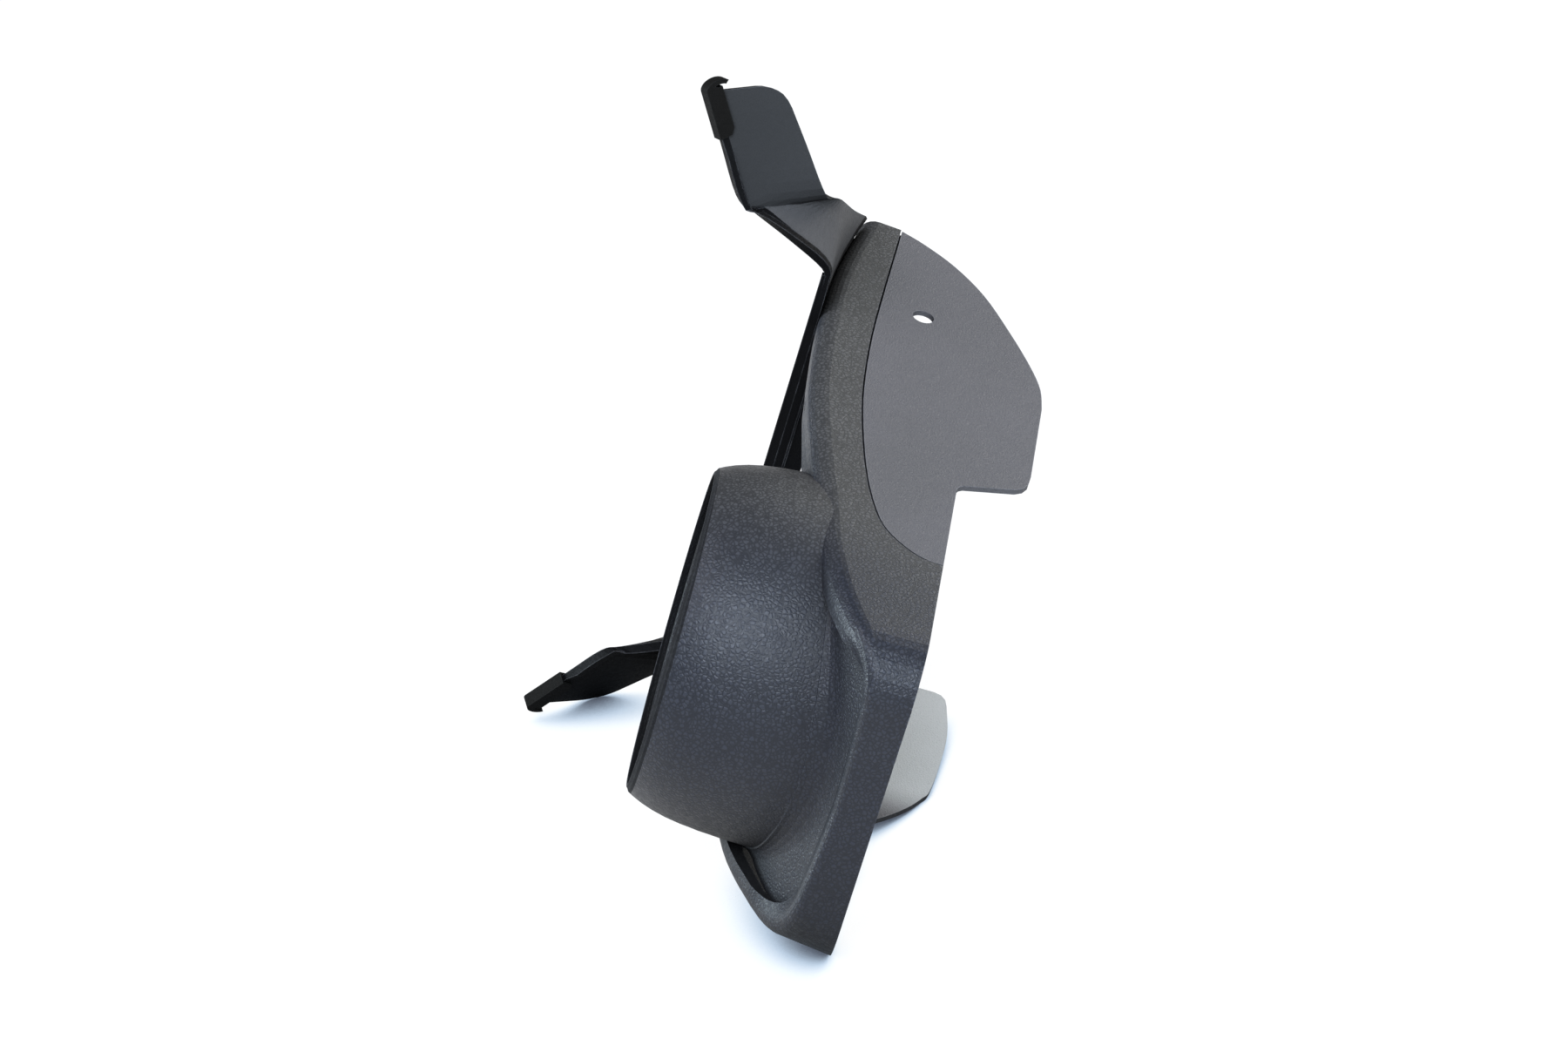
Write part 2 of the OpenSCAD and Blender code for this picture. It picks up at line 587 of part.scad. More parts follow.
// The sleeve lies in the plane of the arm's end: U out along the near edge, V across, N off the face
sleeve_len = 22;
sleeve_slip = 0.5;
sleeve_wall = 0.9;
module on_arm_tip(near, far) {
  last = len(near) - 1;
  tip_u = unit(near[last] - near[last - 1]);
  tip_n = unit(cross(tip_u, unit(far[last] - near[last]) + unit(far[last - 1] - near[last - 1])));
  tip_v = cross(tip_n, tip_u);
  multmatrix([
    [tip_u[0], tip_v[0], tip_n[0], near[last][0]],
    [tip_u[1], tip_v[1], tip_n[1], near[last][1]],
    [tip_u[2], tip_v[2], tip_n[2], near[last][2]],
    [0, 0, 0, 1]])
    children();
}
module hook_sleeve(near, far) {
  cover = sleeve_slip + sleeve_wall;
  edge = -sleeve_slip - sleeve_wall;
  depth = sleeve_w + edge;
  color("#0f0f10")
    on_arm_tip(near, far)
      difference() {
        translate([0, 0, -yoke_t - cover])
          linear_extrude(yoke_t + 2 * cover)
            polygon(concat(
              [[-sleeve_len, edge], [0, edge]],
              [for (a = [180:-7.5:25]) [curl_reach * sin(a), edge + curl_half * (1 + cos(a))]],
              [for (a = [25:7.5:115]) [(curl_reach - sleeve_t) * sin(a),
                edge + curl_half + (curl_half - sleeve_t) * cos(a)]],
              [[sleeve_slip, depth - 2], [sleeve_slip, depth], [-sleeve_len + 3, depth], [-sleeve_len, depth - 2]]));
        translate([-sleeve_len - 1, -sleeve_slip, -yoke_t - sleeve_slip])
          cube([sleeve_len + 1 + sleeve_slip / 2, 2 * sleeve_w, yoke_t + 2 * sleeve_slip]);
      }
}

// The origin is on the pod's axis, halfway down the liner's bore
bore_from = liner_top - 0.6;
bore_to = liner_top - liner_h + liner_wall;
module placed() {
  rotate([stance_pitch, 0, 0])
    rotate([0, stance_roll, 0])
      translate([0, 0, -(bore_from + bore_to) / 2])
        children();
}

module side_panel_right() {
  side_panel(right_outline);
}
module side_panel_left() {
  mirror([1, 0, 0])
    side_panel(left_outline);
}
module hook_sleeve_right() {
  hook_sleeve(near_keys, far_keys);
}
module hook_sleeve_left() {
  mirror([1, 0, 0])
    hook_sleeve([for (v = near_keys) drawn_in(v)], [for (v = far_keys) drawn_in(v)]);
}

placed() console_shell();
placed() pod_liner();
placed() side_panel_left();
placed() side_panel_right();
placed() mounting_yoke();
placed() hook_sleeve_left();
placed() hook_sleeve_right();
placed() yoke_screws();
placed() liner_screws();
placed() panel_screws();
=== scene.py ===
# %% [markdown]
# # A console pod housing, standing on its side
# The part is a dark grey moulding from a car's centre console: a round collar for an
# instrument, a U-shaped shell behind it, two let-in cheek panels, and a yoke with two
# arms whose ends curl into hooks. The CAD model gives every solid its place and size.
# This script gives them finishes, a floor, lamps and the photograph's camera.

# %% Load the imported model
import json
import math
import bpy
from mathutils import Euler, Matrix, Vector


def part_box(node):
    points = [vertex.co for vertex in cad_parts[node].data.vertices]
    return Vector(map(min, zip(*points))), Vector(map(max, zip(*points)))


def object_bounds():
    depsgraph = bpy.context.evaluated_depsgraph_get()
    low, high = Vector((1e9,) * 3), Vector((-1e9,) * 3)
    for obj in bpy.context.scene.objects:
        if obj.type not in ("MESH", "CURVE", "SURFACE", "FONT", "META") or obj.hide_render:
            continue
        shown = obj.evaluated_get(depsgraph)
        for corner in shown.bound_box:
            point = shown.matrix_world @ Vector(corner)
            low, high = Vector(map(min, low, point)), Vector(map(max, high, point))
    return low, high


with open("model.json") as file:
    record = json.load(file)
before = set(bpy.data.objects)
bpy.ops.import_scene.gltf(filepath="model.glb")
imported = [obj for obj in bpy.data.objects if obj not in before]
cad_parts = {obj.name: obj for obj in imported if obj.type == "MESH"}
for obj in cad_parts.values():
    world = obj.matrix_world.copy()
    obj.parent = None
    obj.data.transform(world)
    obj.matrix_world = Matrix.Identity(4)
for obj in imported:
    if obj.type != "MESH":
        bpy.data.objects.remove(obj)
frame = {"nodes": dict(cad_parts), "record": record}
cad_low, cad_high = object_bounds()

MM = 0.001
for name in frame["nodes"]:
    low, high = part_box(name)
    print(name, [round((b - a) * 1000, 1) for a, b in zip(low, high)], "mm")

# %% [markdown]
# ## Floor and background
# The photograph has a white sweep that is so bright that the floor can't be told from
# the background. A very large flat floor does the same. What the camera sees of it is
# mostly a steady white, with a share of real diffuse light, so the soft shadows stay,
# faint as they are in the photograph. Close to the part the floor gets a tight bluish
# shade from an Ambient Occlusion node. Other rays see a plain pale floor.

# %% The white floor
FLOOR_SIZE = 60.0
STEADY_WHITE = 0.93
SHADOW_SHARE = (0.12, 0.12, 0.12, 1)
CONTACT_REACH = 0.036
CONTACT_TONES = ((0.0, (0.03, 0.03, 0.04, 1)), (0.20, (0.10, 0.12, 0.16, 1)), (0.42, (0.52, 0.64, 0.78, 1)),
                 (0.66, (0.90, 0.95, 0.99, 1)), (0.85, (1, 1, 1, 1)))

bpy.ops.mesh.primitive_plane_add(size=FLOOR_SIZE, location=(0, 0, cad_low[2]))
floor = bpy.context.object
floor.name = "floor"
floor_paint = bpy.data.materials.new("floor_white")
floor_paint.use_nodes = True
tree = floor_paint.node_tree
tree.nodes.clear()
seen = tree.nodes.new("ShaderNodeLightPath")
plain = tree.nodes.new("ShaderNodeBsdfDiffuse")
plain.inputs["Color"].default_value = (0.26, 0.26, 0.26, 1)
share = tree.nodes.new("ShaderNodeBsdfDiffuse")
steady = tree.nodes.new("ShaderNodeEmission")
steady.inputs["Strength"].default_value = STEADY_WHITE
both = tree.nodes.new("ShaderNodeAddShader")
contact = tree.nodes.new("ShaderNodeAmbientOcclusion")
contact.samples = 16
contact.inputs["Distance"].default_value = CONTACT_REACH
shade = tree.nodes.new("ShaderNodeValToRGB")
while len(shade.color_ramp.elements) < len(CONTACT_TONES):
    shade.color_ramp.elements.new(0.5)
for stop, (place, tone) in zip(shade.color_ramp.elements, CONTACT_TONES):
    stop.position = place
    stop.color = tone
scaled = tree.nodes.new("ShaderNodeVectorMath")
scaled.operation = "MULTIPLY"
scaled.inputs[1].default_value = SHADOW_SHARE[:3]
direct = tree.nodes.new("ShaderNodeMath")
direct.operation = "MAXIMUM"
through = tree.nodes.new("ShaderNodeMath")
through.operation = "MAXIMUM"
pick = tree.nodes.new("ShaderNodeMixShader")
out = tree.nodes.new("ShaderNodeOutputMaterial")
tree.links.new(contact.outputs["AO"], shade.inputs[0])
tree.links.new(shade.outputs[0], steady.inputs["Color"])
tree.links.new(shade.outputs[0], scaled.inputs[0])
tree.links.new(scaled.outputs[0], share.inputs["Color"])
tree.links.new(share.outputs[0], both.inputs[0])
tree.links.new(steady.outputs[0], both.inputs[1])
tree.links.new(seen.outputs["Is Camera Ray"], direct.inputs[0])
tree.links.new(seen.outputs["Is Glossy Ray"], direct.inputs[1])
tree.links.new(direct.outputs[0], through.inputs[0])
tree.links.new(seen.outputs["Is Transmission Ray"], through.inputs[1])
tree.links.new(through.outputs[0], pick.inputs[0])
tree.links.new(plain.outputs[0], pick.inputs[1])
tree.links.new(both.outputs[0], pick.inputs[2])
tree.links.new(pick.outputs[0], out.inputs["Surface"])
floor.data.materials.append(floor_paint)
print("floor at z =", round(cad_low[2], 4))

# %% [markdown]
# ## The camera
# A long lens looks down on the part at 24 degrees, and it was held a little askew. The
# place and the turns were fitted to points that are known on the solids: the rim's
# ellipse, the hooks, the panel hole and the corners of the lobe. The floor is where the
# part comes to rest: on the nose, the left lobe and the end of the left arm.

# %% The camera
CAMERA_AT = (0.62158, -2.78947, 1.35735)
CAMERA_DOWN = 24.550
CAMERA_TURN = 11.942
CAMERA_ROLL = -10.664
LENS_MM = 172.3

camera_data = bpy.data.cameras.new("camera")
camera_data.sensor_width = 36
camera_data.lens = LENS_MM
camera_data.clip_end = 50
camera = bpy.data.objects.new("camera", camera_data)
camera.location = CAMERA_AT
aimed = Euler((math.radians(90 - CAMERA_DOWN), 0, math.radians(CAMERA_TURN))).to_matrix()
held = aimed @ Matrix.Rotation(math.radians(CAMERA_ROLL), 3, "Z")
camera.rotation_euler = held.to_euler()
bpy.context.scene.collection.objects.link(camera)
bpy.context.scene.camera = camera

# %% [markdown]
# ## The part's own axes
# The moulding leans, so "towards the camera side of the cheek" is no row axis. The
# record's mounts give the part's own directions: the pod's bore points out of the
# collar, and the hole in the right cheek points across the part.

# %% The part's own axes
mounts = {mount["name"]: mount for mount in frame["record"]["mounts"]}
OUT = Vector(mounts["pod_bore"]["axis"]).normalized()
ACROSS = Vector(mounts["panel_hole_right"]["axis"]).normalized()
ALONG = OUT.cross(ACROSS).normalized()
RIM_AT = Vector(mounts["pod_bore"]["pos_m"]) + OUT * 27.3 * MM
own_axes = Matrix((ACROSS, ALONG, OUT)).transposed().to_4x4()
own_axes.translation = RIM_AT


def own(x, y, z):
    """A point given in millimetres across, along and out of the pod, in the row frame."""
    return own_axes @ Vector((x * MM, y * MM, z * MM))


print("pod axis", [round(v, 3) for v in OUT], "rim at", [round(v, 4) for v in RIM_AT])

# %% [markdown]
# ## Light
# The photograph was taken in a light tent with large pale walls. Two big soft lamps on
# the left draw the bright line along the lip and the rim, and a wide bluish one in front
# makes the broad highlight on the collar. One on the right lights the flat cheek, one
# behind it the panel, and a low one on the right the nose and the arm. Their strengths
# were found by rendering lamps alone and mixing those pictures until the tones agreed.
# A dim world stands for the rest of the tent.

# %% The lamps
WORLD_LEVEL = 0.05

def lamp(name, place, target, size, level, tint=(1, 1, 1)):
    """A square area lamp; at level 1 a white surface that faces it renders white."""
    aim = Vector(target) - Vector(place)
    data = bpy.data.lights.new(name, "AREA")
    data.size = size
    data.energy = level * math.pi ** 2 * aim.length_squared
    data.color = tint
    obj = bpy.data.objects.new(name, data)
    obj.location = place
    obj.rotation_euler = aim.to_track_quat("-Z", "Y").to_euler()
    bpy.context.scene.collection.objects.link(obj)
    print(name, round(data.energy, 1), "W")
    return obj


world = bpy.data.worlds.new("tent")
world.use_nodes = True
world.node_tree.nodes["Background"].inputs["Color"].default_value = (0.93, 0.96, 1, 1)
world.node_tree.nodes["Background"].inputs["Strength"].default_value = WORLD_LEVEL
bpy.context.scene.world = world
bpy.context.scene.view_settings.view_transform = "Standard"

middle = [(a + b) / 2 for a, b in zip(cad_low, cad_high)]
lamp("lamp_left", (-1.9, 0.3, 0.5), middle, 0.7, 0.80, (0.78, 0.92, 1))
lamp("lamp_top_left", (-0.9, -0.2, 1.5), middle, 0.8, 0.36, (0.92, 0.90, 1))
lamp("lamp_front", (0.18, -1.90, 1.72), middle, 1.6, 1.36, (0.78, 0.87, 1))
lamp("lamp_right", (1.1, 0.9, 0.9), middle, 0.6, 0.38, (1, 0.99, 0.98))
lamp("lamp_low_right", (1.7, -1.1, 0.25), middle, 0.7, 0.42, (0.72, 0.87, 1))
lamp("lamp_back_right", (1.0, 1.6, 0.8), middle, 0.7, 0.20, (1, 1, 0.92))

# %% [markdown]
# ## Shared effects
# The effects that come back in several finishes are node groups with named inputs: the
# pressed leather grain of the moulding, slow drifts of tone, bright edges that are partly
# wear and partly painted highlight, painted shade in crevices, and masks by side and by
# place. A group is placed in each material with that material's own values.

# %% Helpers for node groups
def new_group(name, inputs, outputs):
    """An empty shader node group: inputs are (name, kind, default), outputs (name, kind)."""
    group = bpy.data.node_groups.new(name, "ShaderNodeTree")
    for label, kind, value in inputs:
        socket = group.interface.new_socket(label, in_out="INPUT", socket_type=kind)
        socket.default_value = value
    for label, kind in outputs:
        group.interface.new_socket(label, in_out="OUTPUT", socket_type=kind)
    start = group.nodes.new("NodeGroupInput")
    end = group.nodes.new("NodeGroupOutput")
    return group, start, end


def add(tree, kind, settings=None, **values):
    """A node with its settings and the values of its unlinked inputs."""
    node = tree.nodes.new(kind)
    for key, value in (settings or {}).items():
        setattr(node, key, value)
    for key, value in values.items():
        node.inputs[key.replace("_", " ")].default_value = value
    return node


def sums(tree, operation, a, b=None, clamp=False):
    """A Math node; a and b are sockets or numbers."""
    node = tree.nodes.new("ShaderNodeMath")
    node.operation = operation
    node.use_clamp = clamp
    for slot_no, value in enumerate((a, b)):
        if value is None:
            continue
        if isinstance(value, (int, float)):
            node.inputs[slot_no].default_value = value
        else:
            tree.links.new(value, node.inputs[slot_no])
    return node.outputs[0]


def step(tree, value, low, high, to_low=0.0, to_high=1.0):
    """A smooth step of a socket from low to high."""
    node = tree.nodes.new("ShaderNodeMapRange")
    node.interpolation_type = "SMOOTHSTEP"
    for label, number in (("From Min", low), ("From Max", high), ("To Min", to_low), ("To Max", to_high)):
        node.inputs[label].default_value = number
    tree.links.new(value, node.inputs["Value"])
    return node.outputs["Result"]

# %% The pressed leather grain
def make_grain():
    """Rounded pebbles with narrow creases between them, in the part's own coordinates."""
    group, start, end = new_group(
        "leather_grain",
        [("Cells per metre", "NodeSocketFloat", 700.0), ("Crease", "NodeSocketFloat", 0.3),
         ("Unevenness", "NodeSocketFloat", 0.35)],
        [("Height", "NodeSocketFloat"), ("Pebble tone", "NodeSocketFloat")])
    place = add(group, "ShaderNodeTexCoord")
    warp = add(group, "ShaderNodeTexNoise", Scale=420.0, Detail=2.0)
    group.links.new(place.outputs["Object"], warp.inputs["Vector"])
    shift = add(group, "ShaderNodeVectorMath", {"operation": "SCALE"})
    shift.inputs["Scale"].default_value = 0.0011
    group.links.new(warp.outputs["Color"], shift.inputs[0])
    moved = add(group, "ShaderNodeVectorMath", {"operation": "ADD"})
    group.links.new(place.outputs["Object"], moved.inputs[0])
    group.links.new(shift.outputs[0], moved.inputs[1])
    cells = add(group, "ShaderNodeTexVoronoi", {"feature": "DISTANCE_TO_EDGE"})
    near = add(group, "ShaderNodeTexVoronoi", {"feature": "F1"})
    for node in (cells, near):
        group.links.new(moved.outputs[0], node.inputs["Vector"])
        group.links.new(start.outputs["Cells per metre"], node.inputs["Scale"])
    ratio = sums(group, "DIVIDE", cells.outputs["Distance"], start.outputs["Crease"])
    pebble = step(group, ratio, 0.0, 1.0)
    parts = add(group, "ShaderNodeSeparateColor")
    group.links.new(near.outputs["Color"], parts.inputs[0])
    lift = sums(group, "MULTIPLY", parts.outputs[0], start.outputs["Unevenness"])
    kept = sums(group, "SUBTRACT", 1.0, lift)
    group.links.new(sums(group, "MULTIPLY", pebble, kept), end.inputs["Height"])
    group.links.new(parts.outputs[1], end.inputs["Pebble tone"])
    return group


leather_grain = make_grain()

# %% Slow drifts of tone
def make_drift():
    """Two tones that pass into each other in soft clouds, with a fine dusty speckle."""
    group, start, end = new_group(
        "tone_drift",
        [("Tone A", "NodeSocketColor", (0.1, 0.1, 0.1, 1)), ("Tone B", "NodeSocketColor", (0.12, 0.12, 0.12, 1)),
         ("Clouds per metre", "NodeSocketFloat", 9.0), ("Speckle", "NodeSocketFloat", 0.06)],
        [("Color", "NodeSocketColor")])
    place = add(group, "ShaderNodeTexCoord")
    clouds = add(group, "ShaderNodeTexNoise", Detail=3.0, Roughness=0.55)
    group.links.new(place.outputs["Object"], clouds.inputs["Vector"])
    group.links.new(start.outputs["Clouds per metre"], clouds.inputs["Scale"])
    mask = step(group, clouds.outputs[0], 0.35, 0.65)
    blend = add(group, "ShaderNodeMix", {"data_type": "RGBA"})
    group.links.new(mask, blend.inputs[0])
    group.links.new(start.outputs["Tone A"], blend.inputs[6])
    group.links.new(start.outputs["Tone B"], blend.inputs[7])
    dust = add(group, "ShaderNodeTexNoise", Scale=1500.0, Detail=2.0)
    group.links.new(place.outputs["Object"], dust.inputs["Vector"])
    spread = sums(group, "MULTIPLY", sums(group, "SUBTRACT", dust.outputs[0], 0.5), start.outputs["Speckle"])
    gain = sums(group, "ADD", 1.0, sums(group, "MULTIPLY", spread, 4.0))
    shade = add(group, "ShaderNodeVectorMath", {"operation": "SCALE"})
    group.links.new(blend.outputs[2], shade.inputs[0])
    group.links.new(gain, shade.inputs["Scale"])
    group.links.new(shade.outputs[0], end.inputs["Color"])
    return group


tone_drift = make_drift()

# %% Bright worn edges and painted edge highlights
def make_edges():
    """A mask that is 1 on sharp edges, broken up by noise; it marks worn edges and painted edge highlights."""
    group, start, end = new_group(
        "edge_wear_and_highlight",
        [("Reach", "NodeSocketFloat", 0.0008), ("Broken", "NodeSocketFloat", 0.5)],
        [("Mask", "NodeSocketFloat")])
    place = add(group, "ShaderNodeTexCoord")
    true_normal = add(group, "ShaderNodeNewGeometry")
    round_normal = add(group, "ShaderNodeBevel", {"samples": 6})
    group.links.new(start.outputs["Reach"], round_normal.inputs["Radius"])
    dot = add(group, "ShaderNodeVectorMath", {"operation": "DOT_PRODUCT"})
    group.links.new(true_normal.outputs["Normal"], dot.inputs[0])
    group.links.new(round_normal.outputs[0], dot.inputs[1])
    bent = step(group, dot.outputs["Value"], 0.99, 0.86)
    patch = add(group, "ShaderNodeTexNoise", Scale=160.0, Detail=4.0)
    group.links.new(place.outputs["Object"], patch.inputs["Vector"])
    worn = step(group, patch.outputs[0], 0.42, 0.62)
    kept = sums(group, "SUBTRACT", 1.0, start.outputs["Broken"])
    broken = sums(group, "ADD", kept, sums(group, "MULTIPLY", worn, start.outputs["Broken"]), clamp=True)
    group.links.new(sums(group, "MULTIPLY", bent, broken, clamp=True), end.inputs["Mask"])
    return group


edge_wear_and_highlight = make_edges()

# %% Painted shade in crevices
def make_painted_crevice_shade():
    """Painted shade: a gain for the colour, 1 on open faces, falling towards Darkest in narrow gaps and corners.
    """
    group, start, end = new_group(
        "crevice_painted_shade",
        [("Reach", "NodeSocketFloat", 0.03), ("Darkest", "NodeSocketFloat", 0.4)],
        [("Gain", "NodeSocketFloat")])
    closeness = add(group, "ShaderNodeAmbientOcclusion", {"samples": 8})
    group.links.new(start.outputs["Reach"], closeness.inputs["Distance"])
    ramp = add(group, "ShaderNodeMapRange", {"interpolation_type": "SMOOTHSTEP"})
    ramp.inputs["From Min"].default_value = 0.2
    ramp.inputs["From Max"].default_value = 1.0
    group.links.new(closeness.outputs["AO"], ramp.inputs["Value"])
    group.links.new(start.outputs["Darkest"], ramp.inputs["To Min"])
    group.links.new(ramp.outputs["Result"], end.inputs["Gain"])
    return group


crevice_painted_shade = make_painted_crevice_shade()

# %% Masks by side and by place
def make_side():
    """1 where the surface faces a direction, 0 where it faces away."""
    group, start, end = new_group(
        "facing_side",
        [("Direction", "NodeSocketVector", (0, 0, 1)), ("From", "NodeSocketFloat", 0.5),
         ("To", "NodeSocketFloat", 0.7)],
        [("Mask", "NodeSocketFloat")])
    place = add(group, "ShaderNodeTexCoord")
    dot = add(group, "ShaderNodeVectorMath", {"operation": "DOT_PRODUCT"})
    group.links.new(place.outputs["Normal"], dot.inputs[0])
    group.links.new(start.outputs["Direction"], dot.inputs[1])
    ramp = add(group, "ShaderNodeMapRange", {"interpolation_type": "SMOOTHSTEP"})
    group.links.new(dot.outputs["Value"], ramp.inputs["Value"])
    group.links.new(start.outputs["From"], ramp.inputs["From Min"])
    group.links.new(start.outputs["To"], ramp.inputs["From Max"])
    group.links.new(ramp.outputs["Result"], end.inputs["Mask"])
    return group


def make_place():
    """Rises from 0 to 1 between two distances from the rim's centre, measured along a direction."""
    group, start, end = new_group(
        "along_place",
        [("Direction", "NodeSocketVector", (0, 0, 1)), ("From", "NodeSocketFloat", 0.0),
         ("To", "NodeSocketFloat", 0.01)],
        [("Mask", "NodeSocketFloat")])
    place = add(group, "ShaderNodeTexCoord")
    offset = add(group, "ShaderNodeVectorMath", {"operation": "SUBTRACT"})
    group.links.new(place.outputs["Object"], offset.inputs[0])
    offset.inputs[1].default_value = RIM_AT
    dot = add(group, "ShaderNodeVectorMath", {"operation": "DOT_PRODUCT"})
    group.links.new(offset.outputs[0], dot.inputs[0])
    group.links.new(start.outputs["Direction"], dot.inputs[1])
    ramp = add(group, "ShaderNodeMapRange", {"interpolation_type": "SMOOTHSTEP"})
    group.links.new(dot.outputs["Value"], ramp.inputs["Value"])
    group.links.new(start.outputs["From"], ramp.inputs["From Min"])
    group.links.new(start.outputs["To"], ramp.inputs["From Max"])
    group.links.new(ramp.outputs["Result"], end.inputs["Mask"])
    return group


def make_bore():
    """1 on walls that face a ring's axis, nearer to it than From; 0 beyond To."""
    group, start, end = new_group(
        "inside_ring",
        [("Direction", "NodeSocketVector", (0, 0, 1)), ("From", "NodeSocketFloat", 0.0),
         ("To", "NodeSocketFloat", 0.01)],
        [("Mask", "NodeSocketFloat")])
    place = add(group, "ShaderNodeTexCoord")
    offset = add(group, "ShaderNodeVectorMath", {"operation": "SUBTRACT"})
    group.links.new(place.outputs["Object"], offset.inputs[0])
    offset.inputs[1].default_value = RIM_AT
    around = add(group, "ShaderNodeVectorMath", {"operation": "CROSS_PRODUCT"})
    group.links.new(offset.outputs[0], around.inputs[0])
    group.links.new(start.outputs["Direction"], around.inputs[1])
    radius = add(group, "ShaderNodeVectorMath", {"operation": "LENGTH"})
    group.links.new(around.outputs[0], radius.inputs[0])
    ramp = add(group, "ShaderNodeMapRange")
    ramp.inputs["To Min"].default_value = 1.0
    ramp.inputs["To Max"].default_value = 0.0
    group.links.new(radius.outputs["Value"], ramp.inputs["Value"])
    group.links.new(start.outputs["From"], ramp.inputs["From Min"])
    group.links.new(start.outputs["To"], ramp.inputs["From Max"])
    dot = add(group, "ShaderNodeVectorMath", {"operation": "DOT_PRODUCT"})
    group.links.new(place.outputs["Normal"], dot.inputs[0])
    group.links.new(offset.outputs[0], dot.inputs[1])
    inward = step(group, dot.outputs["Value"], -0.025, -0.045)
    group.links.new(sums(group, "MULTIPLY", ramp.outputs["Result"], inward), end.inputs["Mask"])
    return group


facing_side = make_side()
along_place = make_place()
inside_ring = make_bore()

# %% [markdown]
# ## Finishes
# Every finish is a Principled shader fed by the groups. The shell has the full leather
# grain, the cheek panels a finer one. On the shell the flat cheeks are painted lighter as
# painted light, fading to painted shade towards the nose, and the cheeks' inner faces and
# the collar's bore are painted black as painted shade. The panels are moulded in a pale
# plastic and coated grey outside, so their inner faces stay pale away from the nose; towards
# it they keep the grey as painted shade. The yoke and the sleeves are black, apart from the
# outer face of the right arm, which is painted grey as painted light, paler at the root than
# past the fold.

# %% One recipe for the mouldings
def tones(tree, tone_a, tone_b, clouds, speckle):
    """A tone_drift node with its two tones; returns its colour."""
    drift = add(tree, "ShaderNodeGroup", {"node_tree": tone_drift})
    drift.inputs["Tone A"].default_value = (*tone_a, 1)
    drift.inputs["Tone B"].default_value = (*tone_b, 1)
    drift.inputs["Clouds per metre"].default_value = clouds
    drift.inputs["Speckle"].default_value = speckle
    return drift.outputs["Color"]


def masked(tree, group, direction, start, end):
    """A side or place mask with its values; returns the mask."""
    node = add(tree, "ShaderNodeGroup", {"node_tree": group})
    node.inputs["Direction"].default_value = direction
    node.inputs["From"].default_value = start
    node.inputs["To"].default_value = end
    return node.outputs["Mask"]


def over(tree, mask, below, above):
    """Lays one colour over another by a mask; above may be a socket or a plain colour."""
    blend = add(tree, "ShaderNodeMix", {"data_type": "RGBA"})
    tree.links.new(mask, blend.inputs[0])
    tree.links.new(below, blend.inputs[6])
    if isinstance(above, tuple):
        blend.inputs[7].default_value = (*above, 1)
    else:
        tree.links.new(above, blend.inputs[7])
    return blend.outputs[2]


